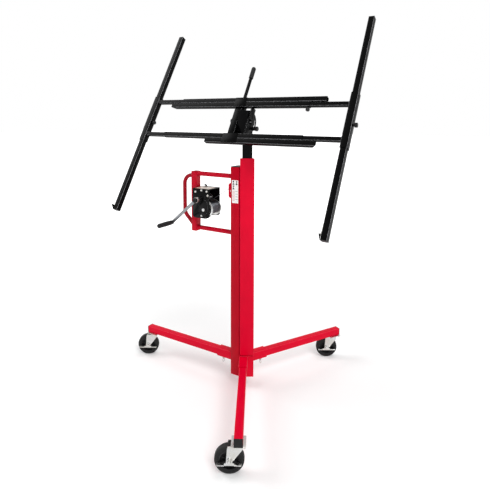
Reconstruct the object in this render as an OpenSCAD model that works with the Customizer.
// Drywall lift: three legs on casters, a two stage telescoping mast raised by a hand winch,
// and a tilting cradle that carries the board. Origin on the floor, where the three legs' lines cross.
// +X runs along the cradle's rails, away from the winch; +Z is up.

/* [Base] */
// Width and height of the square leg tube
leg_w = 38; // [34:1:40]
// Outside width of the sockets that hold the legs
socket_w = 46; // [46:1:52]
// Length of each leg socket
socket_len = 100; // [80:5:130]
// Distance from the mast's face to each caster's swivel axis
leg_reach = 584; // [450:1:700]
// Height of the middle of the legs above the floor
leg_z = 154; // [154:1:175]
// Caster wheel diameter
wheel_d = 125; // [100:1:127]
// Distance that each wheel trails behind its swivel axis
caster_trail = 38; // [34:1:45]
// Direction in which the casters trail, in degrees from +X
caster_yaw = 210; // [0:5:355]

/* [Mast] */
// Top of the fixed channel
channel_top = 1196; // [1100:1:1400]
// Distance of the channel's back from the origin
channel_back = 60; // [56:1:70]
// Width of the channel across Y
channel_w = 74; // [70:1:80]
// Side of the triangular second stage, before its corners are rounded
stage2_side = 80; // [76:1:90]
// Top of the second stage when it is down
stage2_top = 1243; // [1230:1:1400]
// Side of the triangular third stage, before its corners are rounded
stage3_side = 56; // [50:1:58]
// Top of the third stage when it is down
stage3_top = 1322; // [1300:1:1500]

/* [Winch] */
// Height of the drum's axle
drum_z = 956; // [900:1:1000]
// Distance of the drum's axle behind the origin
drum_back = 220; // [200:1:240]
// Teeth on the drum's gear
gear_teeth = 48; // [40:1:52]
// Teeth on the pinion
pinion_teeth = 13; // [12:1:16]
// Length of the crank between its shaft and its grip
crank_len = 213; // [150:1:230]
// Direction of the crank, in degrees from +X towards +Z
crank_dir = 220.4; // [0:0.1:360]

/* [Cradle] */
// Height of the tilt axis when the mast is down
pivot_z = 1430; // [1400:1:1500]
// Tilt of the cradle from level
tilt = 60; // [0:1:65]
// Place of the left cross arm along the rails
arm_left_x = -626; // [-700:1:-600]
// Place of the right cross arm along the rails
arm_right_x = 564; // [550:1:700]
// Length of each cross arm
arm_len = 1140; // [900:5:1300]
// Width of the square cross arms
arm_w = 30; // [25:1:32]
// Width of the square rail tubes
rail_w = 26; // [24:1:28]

/* [Hidden] */
$fn = 48;

RED = "crimson";
DARK_RED = "firebrick";
BLACK = "#1c1c1e";
ZINC = "silver";
GREY = "slategray";

// Fits
gap = 0.3;             // between parts that slide on flat faces
fit = 0.05;            // radial clearance of a shaft in its bore

// Mast section, from the triangle's flat back at stage_back
stage_back = -4;
stage2_wall = 2.5;
stage2_in = stage2_side / (2 * sqrt(3));        // from the axis to each flat face
mast_x = stage_back + stage2_in;                // axis of the second and third stages
stage3_in = stage3_side / (2 * sqrt(3));
channel_wall = 4;
channel_lip = 10;
channel_front = -8;
channel_bottom = 66;
stage2_bottom = 182;
stage3_bottom = 190;
shoe_bottom = 62;
shoe_top = 178;
travel = 950;

// Legs: left under the winch, right and front square to the triangle's front faces
LEFT = 0;
RIGHT = 1;
FRONT = 2;
leg_angle = [180, 60, -60];
face_dist = stage2_in + mast_x * cos(60);
leg_root = [channel_back, face_dist, face_dist];
leg_wall = 2.5;
leg_end = leg_reach + 34;                       // past the swivel axis
leg_under = leg_z - leg_w / 2;
pin_at = 72;                                    // pull pin, from the mast's face
pin_r = 4;

// Casters
wheel_r = wheel_d / 2;
wheel_w = 32;
axle_r = 6;
plate_t = 3;
plate_z = leg_under - plate_t;
race_t = 4;
crown_t = 3.2;
crown_top = plate_z - race_t;
fork_in = 18.5;
fork_t = 3;
kingpin_r = 6;

// Winch and its frame
post_x0 = -332;
post_x1 = -299;
post_w = 46;
post_z = [822, 1152];
bar_r = 12.5;
bar_top_z = 1143;
bar_low_z = 840;
handle_r = 11;
handle_x = -394;
handle_bend = 50;
handle_z = [935, 1080];
house_x = [-299, -190];
house_y = 52;
house_z = [906, 1068];
plate = 4;
tooth_m = 2;                                    // gear module
gear_r = gear_teeth * tooth_m / 2;
pinion_r = pinion_teeth * tooth_m / 2;
drum_x = -drum_back;
mesh_dir = 116.8;                               // from the drum's axle to the pinion's
pinion_x = drum_x + (gear_r + pinion_r) * cos(mesh_dir);
pinion_z = drum_z + (gear_r + pinion_r) * sin(mesh_dir);
barrel_r = 22;
flange_r = 44;
wound_r = 34;
drum_y = [-38, 40];
gear_t = 8;
crank_y = -92;
crank_t = 3.5;                                  // half the crank's thickness
grip_pin_r = 5;
shaft_r = 7;
grip_len = 102;
grip_r = 13;
pawl_x = -277;
pawl_z = 1046;
pawl_y = 43;
pawl_t = 7;
ratchet_r = 17;

// Ropes and pulleys
rope_r = 1.5;
pulley_x = -70;
pulley_z = 1066;
pulley_r = 20;                                  // to the middle of the rope
top_pulley_r = 9;
top_pulley_x = stage_back + stage2_wall + 2.2 - top_pulley_r;
top_pulley_z = 1226;
cap_top = channel_top + 3;

// Cradle: local X along the rails, local Y up the cross arms, local Z off the board side
rail_wall = 2;
rail_n = 14;                                    // middle of the rails off the tilt axis
upper_a = 114;                                  // carries the left outrigger's bar
upper_b = 87;                                   // carries the right outrigger's bar
lower_a = -96;
lower_b = -123;
upper_a_x = [-428, 432];
upper_b_x = [-498, 351];
lower_a_x = [-481, 358];
lower_b_x = [-191, 433];
bar_w = 21.4;
bar_inner_left = -150;
bar_inner_right = 90;
spine_x = [-68, -30];
spine_s = [lower_a + rail_w / 2, upper_b - rail_w / 2];
spine_n = 19;
yoke_x = [-24, 32];                             // square head that carries the tilt pin
yoke_y = [-24, 30];
yoke_wall = 6;
yoke_rise = 56;                                 // above the tilt axis
quad_x = [34, 40];
pin_tilt_r = 8;
pin_head_r = 13;
lock_y = 20;                                    // tilt lock screw, from the tilt axis
lock_z = -37;
lock_r = 5;
lock_slot_wall = 4.4;
lock_neck = 8;                                  // collar under the lock knob
sleeve_w = 36;
sleeve_s = [-140, 143];
arm_shift = 9;                                  // middle of the arms up from the tilt axis
hook_s = -530;
lever_s = 90;
lever_n = -14;
lever_x = -52;
lever_r = 9;
lever_tip = 346;
lever_grip_r = 12;
lever_grip = 72;
ear_t = 4;

// ---- Shapes ----------------------------------------------------------------------------------

// Outline of an equilateral triangle with round corners, one flat side facing -X
function tri_points(side, r) = [
    for (corner = [0:2], step = [0:4])
        let (a = corner * 120, b = a - 60 + step * 30, reach = side / sqrt(3) - 2 * r)
        [reach * cos(a) + r * cos(b), reach * sin(a) + r * sin(b)]
];

module tri_tube(side, r, wall, z0, z1) {
    translate([mast_x, 0, z0])
        linear_extrude(z1 - z0)
            difference() {
                polygon(tri_points(side, r));
                polygon(tri_points(side - 2 * sqrt(3) * wall, max(r - wall, 0.5)));
            }
}

// Square tube along X from x0 to x1, centred on y and z
module tube_x(x0, x1, w, wall) {
    difference() {
        translate([x0, -w / 2, -w / 2]) cube([x1 - x0, w, w]);
        translate([x0 - 1, -w / 2 + wall, -w / 2 + wall])
            cube([x1 - x0 + 2, w - 2 * wall, w - 2 * wall]);
    }
}

// Round bar along X, Y or Z between two places
module rod_x(x0, x1, r) {
    translate([x0, 0, 0]) rotate([0, 90, 0]) cylinder(h = x1 - x0, r = r);
}

module rod_y(y0, y1, r) {
    translate([0, y1, 0]) rotate([90, 0, 0]) cylinder(h = y1 - y0, r = r);
}

// A box from one corner to the other
module box(a, b) {
    translate(a) cube(b - a);
}

// Flat plate in the XZ plane from y0 to y1, drawn with X and Z
module plate_y(y0, y1) {
    translate([0, y1, 0]) rotate([90, 0, 0]) linear_extrude(y1 - y0) children();
}

// Flat plate square to X from x0 to x1, drawn with Y and Z
module plate_x(x0, x1) {
    translate([x0, 0, 0]) rotate([90, 0, 90]) linear_extrude(x1 - x0) children();
}

// Spur gear outline: straight sided teeth a little thinner than their gaps
module gear_2d(teeth, turn) {
    r = teeth * tooth_m / 2;
    root = r - 1.15 * tooth_m;
    tip = r + 0.85 * tooth_m;
    pitch = 360 / teeth;
    points = [
        for (i = [0:teeth - 1], k = [0:3])
            let (half = (k == 0 || k == 3) ? 0.27 : 0.11, side = k < 2 ? -1 : 1,
                 a = turn + (i + side * half) * pitch, rr = (k == 0 || k == 3) ? root : tip)
            [rr * cos(a), rr * sin(a)]
    ];
    polygon(points);
}

// A rope swept along points that lie in the XZ plane
function unit(v) = v / norm(v);
function rope_ring(path, i, r, sides) =
    let (last = len(path) - 1, t = unit(path[min(i + 1, last)] - path[max(i - 1, 0)]),
         u = unit(cross([0, 1, 0], t)), v = [0, 1, 0])
    [for (k = [0:sides - 1]) path[i] + r * (u * cos(k * 360 / sides) + v * sin(k * 360 / sides))];

module rope(path, r) {
    sides = 8;
    rings = len(path);
    points = [for (i = [0:rings - 1]) each rope_ring(path, i, r, sides)];
    walls = [
        for (i = [0:rings - 2], k = [0:sides - 1])
            [i * sides + k, i * sides + (k + 1) % sides,
             (i + 1) * sides + (k + 1) % sides, (i + 1) * sides + k]
    ];
    start = [[for (k = [sides - 1:-1:0]) k]];
    finish = [[for (k = [0:sides - 1]) (rings - 1) * sides + k]];
    polyhedron(points, concat(walls, start, finish), convexity = 6);
}

// Grooved pulley along Y
module pulley(groove_r, flange_over, width, bore) {
    half = width / 2;
    rim = groove_r + flange_over;
    floor_r = groove_r - rope_r - 0.45;
    rotate([90, 0, 0])
        rotate_extrude()
            polygon([
                [bore, -half], [rim, -half], [rim, -half + 1.2], [floor_r, -rope_r - 0.3],
                [floor_r, rope_r + 0.3], [rim, half - 1.2], [rim, half], [bore, half]
            ]);
}

// Round clamp knob along +X: screw, neck and ribbed head
module clamp_knob(screw_len, screw_r, head_r) {
    rod_x(-screw_len, 0.5, screw_r);
    rod_x(0.3, 6, head_r * 0.6);
    difference() {
        rod_x(6, 20, head_r);
        for (i = [0:5])
            rotate([i * 60, 0, 0]) translate([0, 0, head_r + 1.2]) rod_x(5, 21, 2.6);
    }
}

// Places
module in_cradle() {
    translate([0, 0, pivot_z]) rotate([tilt, 0, 0]) children();
}

module on_leg(i) {
    rotate([0, 0, leg_angle[i]]) translate([leg_root[i], 0, leg_z]) children();
}

module at_caster(i) {
    rotate([0, 0, leg_angle[i]])
        translate([leg_root[i] + leg_reach, 0, 0])
            rotate([0, 0, caster_yaw - leg_angle[i]]) children();
}

// ---- Base ------------------------------------------------------------------------------------

module leg_tube(i) {
    color(RED)
        on_leg(i)
            difference() {
                tube_x(1, leg_end, leg_w, leg_wall);
                translate([pin_at, 0, -leg_w / 2 - 1]) cylinder(h = leg_wall + 2, r = pin_r + 0.4);
            }
}

// End plug, and the caster's top plate with the fixed half of its ball race
module leg_fittings(i) {
    inside = leg_w - 2 * leg_wall;
    on_leg(i) {
        color(BLACK) {
            box([leg_end, -leg_w / 2, -leg_w / 2], [leg_end + 4, leg_w / 2, leg_w / 2]);
            box([leg_end - 14, -inside / 2, -inside / 2], [leg_end + 1, inside / 2, inside / 2]);
        }
        color(ZINC)
            translate([leg_reach, 0, -leg_w / 2]) {
                difference() {
                    box([-36, -31, -plate_t], [36, 31, 0]);
                    for (x = [-28, 28], y = [-24.5, 24.5])
                        translate([x, y, -plate_t - 1]) cylinder(h = plate_t + 2, r = 3.2);
                }
                translate([0, 0, -plate_t - race_t + 1]) cylinder(h = race_t, r = 21);
                translate([0, 0, -plate_t - race_t - crown_t - 1.2])
                    cylinder(h = crown_t + race_t + 1, r = kingpin_r);
            }
    }
}

module leg_sockets() {
    wall = (socket_w - leg_w) / 2 - 0.2;
    for (i = [LEFT, RIGHT, FRONT])
        color(RED)
            on_leg(i)
                difference() {
                    union() {
                        tube_x(0, socket_len, socket_w, wall);
                        translate([pin_at, 0, -socket_w / 2 - 9]) cylinder(h = 10, r = 8);
                    }
                    translate([pin_at, 0, -socket_w / 2 - 10])
                        cylinder(h = wall + 12, r = pin_r + fit);
                }
}

// Spring pull pin with its ring
module leg_pin(i) {
    color(ZINC)
        on_leg(i)
            translate([pin_at, 0, -socket_w / 2]) {
                translate([0, 0, -20]) cylinder(h = 20 + 4 + leg_wall + 6, r = pin_r);
                translate([0, 0, -16]) cylinder(h = 5, r = 6.5);
                translate([0, 0, -28])
                    rotate([0, 90, 0]) rotate_extrude() translate([9, 0]) circle(r = 1.3, $fn = 20);
            }
}

module caster_fork(i) {
    crown_bottom = crown_top - crown_t;
    color(ZINC)
        at_caster(i) {
            difference() {
                union() {
                    translate([0, 0, crown_bottom]) cylinder(h = crown_t, r = 23);
                    box([-6, -fork_in - fork_t, crown_bottom], [16, fork_in + fork_t, crown_top]);
                }
                translate([0, 0, crown_bottom - 1]) cylinder(h = crown_t + 2, r = kingpin_r + fit);
            }
            for (side = [0, 1])
                plate_y(side ? fork_in : -fork_in - fork_t, side ? fork_in + fork_t : -fork_in) {
                    polygon([
                        [-18, crown_top], [22, crown_top], [22, crown_bottom - 6],
                        [caster_trail + 13, wheel_r], [caster_trail - 13, wheel_r],
                        [-18, crown_bottom - 8]
                    ]);
                    translate([caster_trail, wheel_r]) circle(r = 13);
                }
            translate([caster_trail, 0, wheel_r]) {
                rod_y(-fork_in - fork_t - 5, fork_in + fork_t + 9, axle_r);
                rod_y(-fork_in - fork_t - 6, -fork_in - fork_t, 9);
                rod_y(fork_in + fork_t + 4.2, fork_in + fork_t + 10, 9);
            }
        }
}

module caster_wheel(i) {
    half = wheel_w / 2;
    color(BLACK)
        at_caster(i)
            translate([caster_trail, 0, wheel_r])
                difference() {
                    rotate([90, 0, 0])
                        rotate_extrude($fn = 72)
                            polygon([
                                [axle_r + fit, -18], [15, -18], [15, -9], [46, -9], [48, -half],
                                [wheel_r - 5, -half], [wheel_r, -half + 6], [wheel_r, half - 6],
                                [wheel_r - 5, half], [48, half], [46, 9], [15, 9], [15, 18],
                                [axle_r + fit, 18]
                            ]);
                    for (k = [0:5])
                        rotate([0, k * 60, 0]) translate([30, 0, 0]) rod_y(-20, 20, 8);
                }
}

// Rocking brake lever on the outside of the fork
module brake_pedal(i) {
    y0 = fork_in + fork_t + 0.2;
    color(ZINC)
        at_caster(i)
            translate([caster_trail, 0, wheel_r])
                difference() {
                    union() {
                        rod_y(y0, y0 + 3.5, 13);
                        box([-50, y0, -16], [50, y0 + 3.5, -4]);
                        for (x = [-50, 20])
                            box([x, y0, -7], [x + 30, y0 + 17, -4]);
                    }
                    rod_y(y0 - 1, y0 + 20, axle_r + fit);
                    rod_y(y0 + 3.5, y0 + 20, 12);
                }
}

// ---- Fixed mast ------------------------------------------------------------------------------

module mast_channel() {
    half = channel_w / 2;
    color(DARK_RED)
        difference() {
            box([-channel_back, -half, channel_bottom], [channel_front, half, channel_top]);
            box([channel_wall - channel_back, channel_wall - half, channel_bottom - 1],
                [channel_front - channel_wall, half - channel_wall, channel_top + 1]);
            box([channel_front - channel_wall - 1, channel_lip - half, channel_bottom - 1],
                [channel_front + 1, half - channel_lip, channel_top + 1]);
            box([-channel_back - 1, -8, pulley_z - 27], [channel_wall - channel_back + 1, 8, pulley_z + 27]);
        }
}

// Plastic plug in the channel's top that also anchors the third stage's rope
module mast_cap() {
    half = channel_w / 2;
    inner = channel_wall + 0.05;
    color(BLACK)
        difference() {
            union() {
                box([inner - channel_back, inner - half, channel_top - 8],
                    [channel_front - channel_wall - 0.05, half - inner, channel_top]);
                box([1 - channel_back, 1 - half, channel_top],
                    [channel_front - 2, half - 1, cap_top]);
            }
            translate([top_pulley_x - top_pulley_r, 0, channel_top - 10]) cylinder(h = 14, r = 1.7);
        }
}

// Short nose under the second stage, with the plate that closes the mast's foot
module foot_shoe() {
    half = channel_w / 2;
    color(RED) {
        tri_tube(stage2_side, 4, 4, shoe_bottom, shoe_top);
        for (side = [-1, 1])
            box([channel_front, side * 31.5 - 4.5, shoe_bottom],
                [stage_back + 1, side * 31.5 + 4.5, shoe_top]);
        box([-channel_back, -half, shoe_bottom], [channel_front + 1, half, channel_bottom]);
    }
}

// ---- Winch -----------------------------------------------------------------------------------

module winch_frame() {
    color(RED) {
        difference() {
            box([post_x0, -post_w / 2, post_z[0]], [post_x1, post_w / 2, post_z[1]]);
            box([post_x0 + 3, -post_w / 2 + 3, post_z[0] - 1],
                [post_x1 - 3, post_w / 2 - 3, post_z[1] + 1]);
        }
        for (z = [bar_low_z, bar_top_z])
            translate([0, 0, z]) rod_x(post_x1, -channel_back, bar_r);
    }
}

// Grab handle: a bent round tube behind the post
module carry_handle() {
    bend_x = handle_x + handle_bend;
    low = [bend_x - handle_bend * cos(45), handle_z[0] - handle_bend * sin(45)];
    run = (post_x0 - low[0]) * sqrt(2);
    color(DARK_RED)
        difference() {
            union() {
                translate([0, 0, handle_z[1] + handle_bend]) rod_x(bend_x, post_x0 + 8, handle_r);
                translate([bend_x, 0, handle_z[1]])
                    rotate([90, 0, 0]) rotate([0, 0, 90])
                        rotate_extrude(angle = 90) translate([handle_bend, 0]) circle(r = handle_r);
                translate([handle_x, 0, handle_z[0]])
                    cylinder(h = handle_z[1] - handle_z[0], r = handle_r);
                translate([bend_x, 0, handle_z[0]])
                    rotate([90, 0, 0]) rotate([0, 0, 180])
                        rotate_extrude(angle = 45) translate([handle_bend, 0]) circle(r = handle_r);
                translate([low[0], 0, low[1]])
                    rotate([0, 135, 0]) cylinder(h = run + 14, r = handle_r);
            }
            box([post_x0, -30, 700], [post_x0 + 60, 30, 1300]);
        }
}

module pulley_bracket() {
    z0 = pulley_z - 39;
    z1 = pulley_z + 41;
    back = -channel_back;
    color(RED)
        difference() {
            for (side = [-1, 1])
                plate_y(side * 11 - 2, side * 11 + 2)
                    polygon([[back, z0], [back - 22, z0], [back - 30, z0 + 8],
                             [back - 30, z1 - 8], [back - 22, z1], [back, z1]]);
            translate([pulley_x, 0, pulley_z]) rod_y(-20, 20, 4);
        }
    color(ZINC)
        translate([pulley_x, 0, pulley_z]) {
            rod_y(-13, 13, 4);
            rod_y(-18, -13, 7.5);
            rod_y(13, 18, 7.5);
        }
}

module bracket_pulley() {
    color(GREY)
        translate([pulley_x, 0, pulley_z]) pulley(pulley_r, 3, 14, 4 + fit);
}

// Folded housing: back plate on the post, two side plates and a top plate
module winch_housing() {
    x0 = house_x[0];
    x1 = house_x[1];
    z0 = house_z[0];
    z1 = house_z[1];
    color(BLACK)
        difference() {
            union() {
                for (y = [-house_y, house_y - plate])
                    plate_y(y, y + plate)
                        difference() {
                            union() {
                                polygon([[x0, z0 + 12], [x0 + 12, z0], [drum_x, z0],
                                         [x1, drum_z + 14], [x1, z1], [x0, z1]]);
                                translate([drum_x, drum_z]) circle(r = drum_z - z0);
                            }
                            translate([x1, z0]) square([40, z1 - z0]);
                        }
                box([x0, -house_y, z0 + 12], [x0 + plate, house_y, z1]);
                box([x0, -house_y, z1 - plate], [x1, house_y, z1]);
                translate([pinion_x, 0, pinion_z]) rod_y(-house_y - 14, -house_y + 1, 19);
                translate([drum_x, 0, drum_z]) rod_y(-house_y - 6, -house_y + 1, 24);
            }
            translate([pinion_x, 0, pinion_z]) rod_y(-90, 90, shaft_r + fit);
            translate([drum_x, 0, drum_z]) rod_y(-90, 90, 6);
            box([pawl_x - 14, pawl_y - 7, z1 - plate - 1], [pawl_x + 16, house_y - plate, z1 + 1]);
            translate([pawl_x, 0, pawl_z]) rod_y(pawl_y - 12, 90, 3);
        }
}

// Zinc bolts of the winch and its frame, with the drum's and the pawl's fixed axles
module winch_bolts() {
    face = -house_y;
    heads = [[-278, 1050], [-238, 1060], [-203, 1056], [-197, 1034], [-238, 921]];
    color(ZINC) {
        for (p = heads) {
            translate([p[0], 0, p[1]]) rod_y(face - 4, face, 5.5);
        }
        for (z = [post_z[0] + 14, post_z[1] - 12])
            translate([(post_x0 + post_x1) / 2, 0, z]) rod_y(-post_w / 2 - 3, -post_w / 2, 6);
        translate([drum_x, 0, drum_z]) {
            rod_y(-house_y - 8, house_y + 4, 6);
            rod_y(-house_y - 12, -house_y - 6, 10);
            rod_y(house_y, house_y + 7, 10);
        }
        translate([pawl_x, 0, pawl_z]) {
            rod_y(pawl_y - 6, house_y + 2, 3);
            rod_y(house_y, house_y + 4, 6);
        }
    }
}

module winch_drum() {
    bore = 6 + fit;
    color(ZINC)
        translate([drum_x, 0, drum_z])
            difference() {
                union() {
                    rod_y(drum_y[0], drum_y[1], barrel_r);
                    rod_y(drum_y[1], drum_y[1] + 4, flange_r);
                    plate_y(drum_y[0] - gear_t, drum_y[0]) gear_2d(gear_teeth, mesh_dir);
                }
                rod_y(-90, 90, bore);
                for (k = [0:4])
                    rotate([0, k * 72 + 20, 0]) translate([33, 0, 0]) rod_y(-60, -36, 7);
            }
}

module rope_wound() {
    color(GREY)
        translate([drum_x, 0, drum_z])
            rotate([90, 0, 0])
                rotate_extrude()
                    polygon([
                        [barrel_r, -drum_y[1]], [wound_r - 3, -drum_y[1]], [wound_r - rope_r, -28],
                        [wound_r - rope_r, 26], [wound_r - 3, -drum_y[0]], [barrel_r, -drum_y[0]]
                    ]);
}

// Crank shaft with the pinion and the ratchet wheel
module pinion_shaft() {
    color(ZINC)
        translate([pinion_x, 0, pinion_z]) {
            rod_y(-106, house_y + 5, shaft_r);
            plate_y(drum_y[0] - gear_t - 0.5, drum_y[0] + 0.5)
                gear_2d(pinion_teeth, mesh_dir + 180 + 180 / pinion_teeth);
            plate_y(pawl_y - 4, pawl_y + 4)
                polygon([
                    for (k = [0:11], end = [0, 1])
                        let (a = k * 30 + end * 27, r = end ? ratchet_r - 4.5 : ratchet_r)
                        [r * cos(a), r * sin(a)]
                ]);
        }
}

module crank_arm() {
    dx = crank_len * cos(crank_dir);
    dz = crank_len * sin(crank_dir);
    difference() {
        translate([pinion_x, 0, pinion_z]) {
            color(ZINC) {
                rod_y(crank_y, -house_y - 15, 13);
                rotate([0, -crank_dir, 0])
                    box([0, crank_y - crank_t, -8.5], [crank_len, crank_y + crank_t, 8.5]);
                translate([dx, 0, dz]) {
                    rod_y(crank_y - crank_t, crank_y + crank_t, 11);
                    rod_y(crank_y - 8 - grip_len, crank_y, grip_pin_r);
                    rod_y(crank_y - 12 - grip_len, crank_y - 7 - grip_len, 8);
                }
            }
            color(BLACK) rod_y(crank_y - 15, crank_y, 15);
        }
        translate([pinion_x, 0, pinion_z]) rod_y(-106, -20, shaft_r);
    }
}

module crank_grip() {
    dx = crank_len * cos(crank_dir);
    dz = crank_len * sin(crank_dir);
    color(BLACK)
        translate([pinion_x + dx, 0, pinion_z + dz])
            rotate([90, 0, 0])
                translate([0, 0, -crank_y])
                    rotate_extrude()
                        polygon([
                            [grip_pin_r + fit, 4.5], [grip_r - 3, 4.5], [grip_r - 1, 9],
                            [grip_r, grip_len * 0.5], [grip_r - 0.5, grip_len - 4],
                            [grip_r - 3, grip_len + 6.5], [grip_pin_r + fit, grip_len + 6.5]
                        ]);
}

// Pawl with its thumb tab, lifted clear of the ratchet wheel
module ratchet_pawl() {
    color(BLACK)
        translate([pawl_x, 0, pawl_z])
            difference() {
                union() {
                    rod_y(pawl_y - pawl_t / 2, pawl_y + pawl_t / 2, 7);
                    plate_y(pawl_y - pawl_t / 2, pawl_y + pawl_t / 2)
                        polygon([[-5, -2], [14, -15.5], [17.5, -12], [5, 3],
                                 [4, 30], [-10, 34], [-12, 30], [-4, 26]]);
                }
                rod_y(0, 90, 3 + fit);
            }
}

// ---- Ropes -----------------------------------------------------------------------------------

// From the drum over the bracket's pulley and down the channel to the carriage's foot
module lift_rope() {
    dx = pulley_x - drum_x;
    dz = pulley_z - drum_z;
    slope = atan2(dz, dx) - asin((wound_r - pulley_r) / norm([dx, dz]));
    leave = [drum_x + wound_r * cos(slope + 90), 0, drum_z + wound_r * sin(slope + 90)];
    arc = [for (k = [0:6])
        let (a = (slope + 90) * (1 - k / 6))
        [pulley_x + pulley_r * cos(a), 0, pulley_z + pulley_r * sin(a)]];
    fall = [for (z = [1000, 700, 400, 88]) [pulley_x + pulley_r, 0, z]];
    color(GREY) rope(concat([leave], arc, fall), rope_r);
}

// From the cap over the second stage's pulley and down to the third stage's foot
module stage_3_rope() {
    out_x = top_pulley_x - top_pulley_r;
    arc = [for (k = [0:6])
        let (a = 180 * (1 - k / 6))
        [top_pulley_x + top_pulley_r * cos(a), 0, top_pulley_z + top_pulley_r * sin(a)]];
    fall = [for (z = [1000, 700, 400, stage3_bottom + 6]) [top_pulley_x + top_pulley_r, 0, z]];
    color(GREY) rope(concat([[out_x, 0, cap_top - 8]], arc, fall), rope_r);
}

// ---- Second and third stages -----------------------------------------------------------------

module mast_stage_2() {
    ear = 9;
    color(RED)
        difference() {
            union() {
                tri_tube(stage2_side, 4, stage2_wall, stage2_bottom, stage2_top);
                for (side = [-1, 1])
                    plate_y(side * ear - 1.5, side * ear + 1.5)
                        polygon([[stage_back + 1, top_pulley_z - 14], [top_pulley_x - 8, top_pulley_z - 8],
                                 [top_pulley_x - 8, top_pulley_z + 6], [stage_back + 1, top_pulley_z + 12]]);
            }
            box([stage_back - 1, -5.5, top_pulley_z - 14],
                [stage_back + stage2_wall + 1, 5.5, top_pulley_z + 14]);
            translate([top_pulley_x, 0, top_pulley_z]) rod_y(-20, 20, 2.5);
        }
    color(ZINC)
        translate([top_pulley_x, 0, top_pulley_z]) rod_y(-12, 12, 2.5);
}

// Slider in the channel that carries the second stage
module carriage() {
    half = channel_w / 2 - channel_wall - gap;
    front = channel_front - channel_wall - gap;
    neck = channel_w / 2 - channel_lip - 2;
    color(BLACK)
        difference() {
            union() {
                box([front - 28, -half, 76], [front, half, 236]);
                box([front - 1, -neck, stage2_bottom + 2], [stage_back, neck, 236]);
                box([-56 + gap, -11, 78], [front - 1, 11, 90]);
            }
            box([front - 22, -half + 9, 98], [front + 1, half - 9, 170]);
            translate([pulley_x + pulley_r, 0, 70]) cylinder(h = 30, r = 1.7);
        }
}

// Plastic guide in the second stage's top
module guide_collar() {
    color(BLACK)
        difference() {
            translate([mast_x, 0, stage2_top - 34])
                linear_extrude(34)
                    difference() {
                        polygon(tri_points(stage2_side - 2 * sqrt(3) * stage2_wall, 1.5));
                        polygon(tri_points(stage3_side + 2 * sqrt(3) * gap, 3));
                    }
            box([stage_back - 5, -6.5, stage2_top - 40], [mast_x - 8, 6.5, stage2_top + 1]);
        }
}

module stage_2_pulley() {
    color(GREY)
        translate([top_pulley_x, 0, top_pulley_z]) pulley(top_pulley_r, 1.3, 8, 2.5 + fit);
}

module mast_stage_3() {
    color(BLACK) tri_tube(stage3_side, 3, 2.5, stage3_bottom + 22, stage3_top);
}

// Plastic slider at the third stage's foot, where its rope is held
module stage_3_foot() {
    outer = stage2_side - 2 * sqrt(3) * (stage2_wall + gap);
    plug = stage3_side - 2 * sqrt(3) * 2.5;
    color(GREY)
        difference() {
            union() {
                translate([mast_x, 0, stage3_bottom]) linear_extrude(22) polygon(tri_points(outer, 2));
                translate([mast_x, 0, stage3_bottom + 21]) linear_extrude(20) polygon(tri_points(plug, 0.5));
            }
            translate([top_pulley_x + top_pulley_r, 0, stage3_bottom - 1]) cylinder(h = 40, r = 1.7);
        }
}

// Square head on the third stage, with the holes for the tilt pin and the lock screw
module tilt_yoke() {
    base_t = 6;
    top = pivot_z + yoke_rise;
    color(BLACK)
        difference() {
            union() {
                box([yoke_x[0], yoke_y[0] - 2, stage3_top], [50, yoke_y[1] + 2, stage3_top + base_t]);
                box([yoke_x[0], yoke_y[0], stage3_top + 1], [yoke_x[1], yoke_y[1], top]);
            }
            box([yoke_x[0] + yoke_wall, yoke_y[0] + yoke_wall, stage3_top + base_t],
                [yoke_x[1] - yoke_wall, yoke_y[1] - yoke_wall, top + 1]);
            translate([0, 0, pivot_z]) rod_x(-60, 60, pin_tilt_r + fit);
            translate([0, lock_y, pivot_z + lock_z]) rod_x(yoke_x[1] - 15, 60, lock_r + fit);
        }
}

// ---- Cradle ----------------------------------------------------------------------------------

module tilt_pin() {
    color(BLACK)
        in_cradle() {
            rod_x(spine_x[0] - 4, quad_x[1] + 4, pin_tilt_r);
            rod_x(spine_x[0] - 10, spine_x[0], pin_head_r);
            rod_x(quad_x[1], quad_x[1] + 8, pin_head_r);
        }
}

function lock_turn(t) = atan2(lock_z * cos(t) - lock_y * sin(t), lock_y * cos(t) + lock_z * sin(t));

// Side plate that ties the rails and holds the tilt lock's arc slot
module tilt_quadrant() {
    lock_dist = norm([lock_y, lock_z]);
    slot = lock_r + 0.6;
    quad_r = lock_dist + slot + lock_slot_wall;
    first = lock_turn(tilt + 13);
    last = lock_turn(tilt - 68);
    color(BLACK)
        in_cradle()
            difference() {
                plate_x(quad_x[0], quad_x[1]) {
                    translate([spine_s[0], -12]) square([spine_s[1] - spine_s[0], rail_n + rail_w / 2 + 12]);
                    intersection() {
                        circle(r = quad_r, $fn = 96);
                        translate([-quad_r, -quad_r]) square([2 * quad_r, quad_r]);
                    }
                }
                translate([quad_x[0] - 1, 0, 0])
                    rotate([90, 0, 90])
                        rotate([0, 0, first])
                            rotate_extrude(angle = last - first + 360 * (last < first ? 1 : 0))
                                translate([lock_dist - slot, 0]) square([2 * slot, 8]);
                rod_x(quad_x[0] - 1, quad_x[1] + 1, pin_tilt_r);
            }
}

// Tilt lock screw with its round knob
module tilt_knob() {
    color(BLACK)
        translate([quad_x[1] + 0.4, lock_y, pivot_z + lock_z]) {
            rod_x(0, lock_neck + 1, 2 * lock_r);
            translate([lock_neck, 0, 0]) clamp_knob(lock_neck + 20, lock_r, 12);
        }
}

module rail(x, s) {
    translate([0, s, rail_n]) tube_x(x[0], x[1], rail_w, rail_wall);
}

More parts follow.
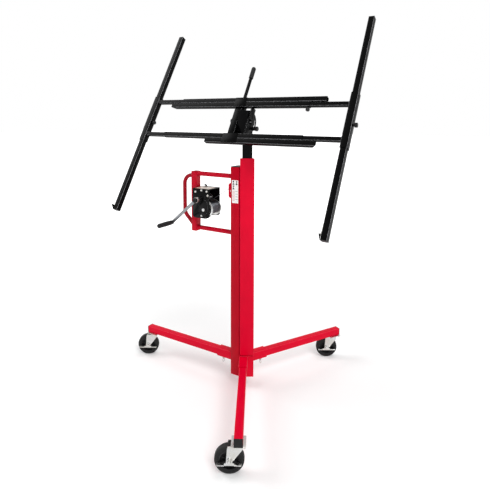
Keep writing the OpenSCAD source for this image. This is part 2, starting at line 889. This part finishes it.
module upper_rails() {
    color(BLACK)
        in_cradle() {
            difference() {
                rail(upper_a_x, upper_a);
                translate([upper_a_x[0] + 20, upper_a, rail_n - rail_w])
                    cylinder(h = rail_w, r = 4 + fit);
            }
            difference() {
                rail(upper_b_x, upper_b);
                translate([upper_b_x[0], upper_b - rail_w / 2 - 1, rail_n + rail_w / 2])
                    rotate([0, 45, 0]) translate([-60, 0, -60]) cube([60, rail_w + 2, 120]);
                translate([upper_b_x[1] - 8, upper_b - rail_w / 2 - 1, rail_n])
                    rotate([-90, 0, 0]) cylinder(h = rail_wall + 2, r = 4 + fit);
            }
            box([-75, upper_b - rail_w / 2, rail_n + rail_w / 2],
                [-5, upper_a + rail_w / 2, rail_n + rail_w / 2 + 1.5]);
        }
}

module lower_rails() {
    color(BLACK)
        in_cradle() {
            rail(lower_a_x, lower_a);
            difference() {
                rail(lower_b_x, lower_b);
                translate([lower_b_x[1], lower_b - rail_w / 2 - 1, rail_n + rail_w / 2])
                    rotate([0, -45, 0]) translate([0, 0, -60]) cube([60, rail_w + 2, 120]);
            }
            box([-85, lower_b - rail_w / 2, rail_n + rail_w / 2],
                [5, lower_a + rail_w / 2, rail_n + rail_w / 2 + 1.5]);
        }
}

// Square tube between the rails, with the lever's ears
module cradle_spine() {
    color(BLACK)
        in_cradle()
            difference() {
                union() {
                    difference() {
                        box([spine_x[0], spine_s[0], -spine_n], [spine_x[1], spine_s[1], spine_n]);
                        box([spine_x[0] + 3, spine_s[0] - 1, 3 - spine_n],
                            [spine_x[1] - 3, spine_s[1] + 1, spine_n - 3]);
                    }
                    for (x = [spine_x[0] - ear_t, spine_x[1]])
                        box([x, 44, lever_n - 10], [x + ear_t, lever_s + 10, -2]);
                }
                rod_x(spine_x[0] - 10, spine_x[1] + 10, pin_tilt_r);
                translate([0, lever_s, lever_n]) rod_x(-90, 0, 4 + fit);
            }
}

module tilt_lever() {
    grip_end = lever_tip - lever_s;
    color(BLACK)
        in_cradle()
            translate([0, lever_s, lever_n]) {
                rod_x(spine_x[0] - 6, spine_x[1] + 6, 4);
                rod_x(spine_x[0] + 0.5, spine_x[1] - 0.5, lever_r + 1);
                translate([lever_x, 0, 0]) rotate([-90, 0, 0]) {
                    cylinder(h = grip_end - lever_grip + 12, r = lever_r);
                    translate([0, 0, grip_end - lever_grip]) cylinder(h = lever_grip - 6, r = lever_grip_r);
                    translate([0, 0, grip_end - 6]) scale([1, 1, 0.5]) sphere(r = lever_grip_r);
                }
            }
}

// Sleeve for a cross arm with the two bars that slide in the rails
module outrigger(x, upper_s, inner_x) {
    inner = arm_w + 0.6;
    side = inner_x > x ? 1 : -1;
    near = x + side * sleeve_w / 2;
    color(BLACK)
        in_cradle()
            difference() {
                union() {
                    box([x - sleeve_w / 2, sleeve_s[0], rail_n - sleeve_w / 2],
                        [x + sleeve_w / 2, sleeve_s[1], rail_n + sleeve_w / 2]);
                    for (s = [upper_s, lower_a])
                        translate([0, s, rail_n])
                            tube_x(min(near, inner_x), max(near, inner_x), bar_w, 2);
                }
                box([x - inner / 2, sleeve_s[0] - 1, rail_n - inner / 2],
                    [x + inner / 2, sleeve_s[1] + 1, rail_n + inner / 2]);
                translate([x, -21, rail_n]) rod_x(10, 30, 4 + fit);
            }
}

module arm(x) {
    s0 = arm_shift - arm_len / 2;
    s1 = arm_shift + arm_len / 2;
    inner = arm_w - 4;
    color(BLACK)
        in_cradle()
            translate([x, 0, rail_n])
                difference() {
                    box([-arm_w / 2, s0, -arm_w / 2], [arm_w / 2, s1, arm_w / 2]);
                    box([-inner / 2, s0 + 12, -inner / 2], [inner / 2, s1 - 12, inner / 2]);
                    translate([0, hook_s, 0]) rod_x(-arm_w, 0, 3 + fit);
                }
}

// Fold-out hook for the board's lower edge, folded along its arm
module hook(x) {
    side = x - arm_w / 2;
    color(ZINC)
        in_cradle()
            translate([side, hook_s, rail_n]) {
                rod_x(-6, 6, 3);
                rod_x(-8, -5, 6);
                box([-5, -6, -6], [-0.3, 40, 6]);
            }
}

module knob_rail_left() {
    color(BLACK)
        in_cradle()
            translate([upper_a_x[0] + 20, upper_a, rail_n - rail_w / 2 - 0.3])
                rotate([0, 90, 0]) clamp_knob(rail_wall + 0.5, 4, 10);
}

module knob_rail_right() {
    color(BLACK)
        in_cradle()
            translate([upper_b_x[1] - 8, upper_b - rail_w / 2 - 0.3, rail_n])
                rotate([0, 0, -90]) clamp_knob(rail_wall + 0.5, 4, 10);
}

module knob_arm(x) {
    color(BLACK)
        in_cradle()
            translate([x + sleeve_w / 2 + 0.3, -21, rail_n]) clamp_knob(3.1, 4, 11);
}

// ---- Nodes -----------------------------------------------------------------------------------

mast_channel();
mast_cap();
foot_shoe();
leg_sockets();
winch_frame();
carry_handle();
pulley_bracket();
winch_housing();
winch_bolts();
lift_rope();
bracket_pulley();
winch_drum();
rope_wound();
pinion_shaft();
crank_arm();
crank_grip();
ratchet_pawl();
mast_stage_2();
carriage();
guide_collar();
stage_3_rope();
stage_2_pulley();
mast_stage_3();
stage_3_foot();
tilt_yoke();
tilt_pin();
tilt_quadrant();
upper_rails();
lower_rails();
cradle_spine();
tilt_lever();
tilt_knob();
outrigger(arm_left_x, upper_a, bar_inner_left);  // outrigger_left
outrigger(arm_right_x, upper_b, bar_inner_right);  // outrigger_right
arm(arm_left_x);  // arm_left
arm(arm_right_x);  // arm_right
hook(arm_left_x);  // hook_left
hook(arm_right_x);  // hook_right
knob_rail_left();
knob_rail_right();
knob_arm(arm_left_x);  // knob_arm_left
knob_arm(arm_right_x);  // knob_arm_right
leg_tube(LEFT);  // leg_left
leg_tube(RIGHT);  // leg_right
leg_tube(FRONT);  // leg_front
leg_fittings(LEFT);  // leg_fittings_left
leg_fittings(RIGHT);  // leg_fittings_right
leg_fittings(FRONT);  // leg_fittings_front
caster_fork(LEFT);  // caster_fork_left
caster_fork(RIGHT);  // caster_fork_right
caster_fork(FRONT);  // caster_fork_front
caster_wheel(LEFT);  // caster_wheel_left
caster_wheel(RIGHT);  // caster_wheel_right
caster_wheel(FRONT);  // caster_wheel_front
brake_pedal(LEFT);  // brake_pedal_left
brake_pedal(RIGHT);  // brake_pedal_right
brake_pedal(FRONT);  // brake_pedal_front
leg_pin(LEFT);  // leg_pin_left
leg_pin(RIGHT);  // leg_pin_right
leg_pin(FRONT);  // leg_pin_front
